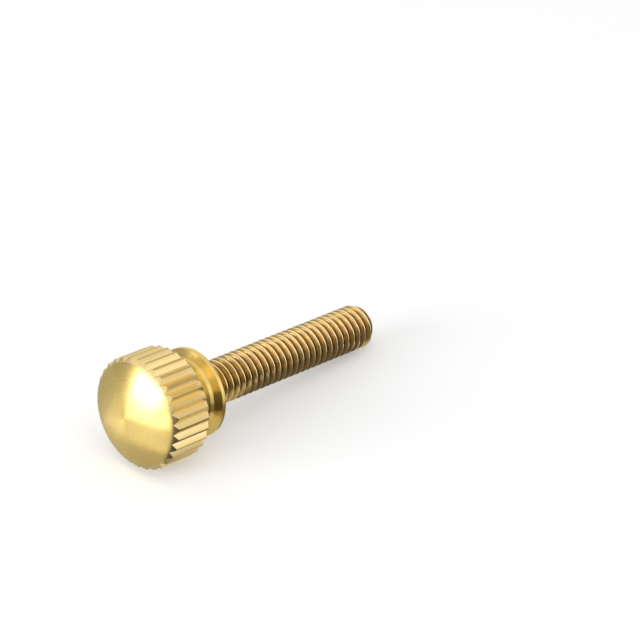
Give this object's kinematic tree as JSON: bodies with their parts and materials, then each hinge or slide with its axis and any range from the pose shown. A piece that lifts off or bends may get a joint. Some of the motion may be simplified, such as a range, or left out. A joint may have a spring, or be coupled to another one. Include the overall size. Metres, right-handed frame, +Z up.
{
  "type": "thumb screw",
  "caption": "Brass thumb screw with a straight-knurled, dome-ended head, a thin collar that seats on the work, and a long metric shank.",
  "frame": {"origin": "centre of the collar's seat face, on the screw's axis", "axes": "+X along the screw towards the tip, seen from above; the axis itself slopes down to the tip by the tilt at which the screw rests. +Z up from the surface that it lies on. Y across."},
  "size_m": [0.0286, 0.0096, 0.0099],
  "materials": {
    "turned_brass": "bright turned and knurled brass, uncoated, with fine lathe marks"
  },
  "bodies": {
    "root": {"thumb_screw": "turned_brass"}
  },
  "joints": []
}
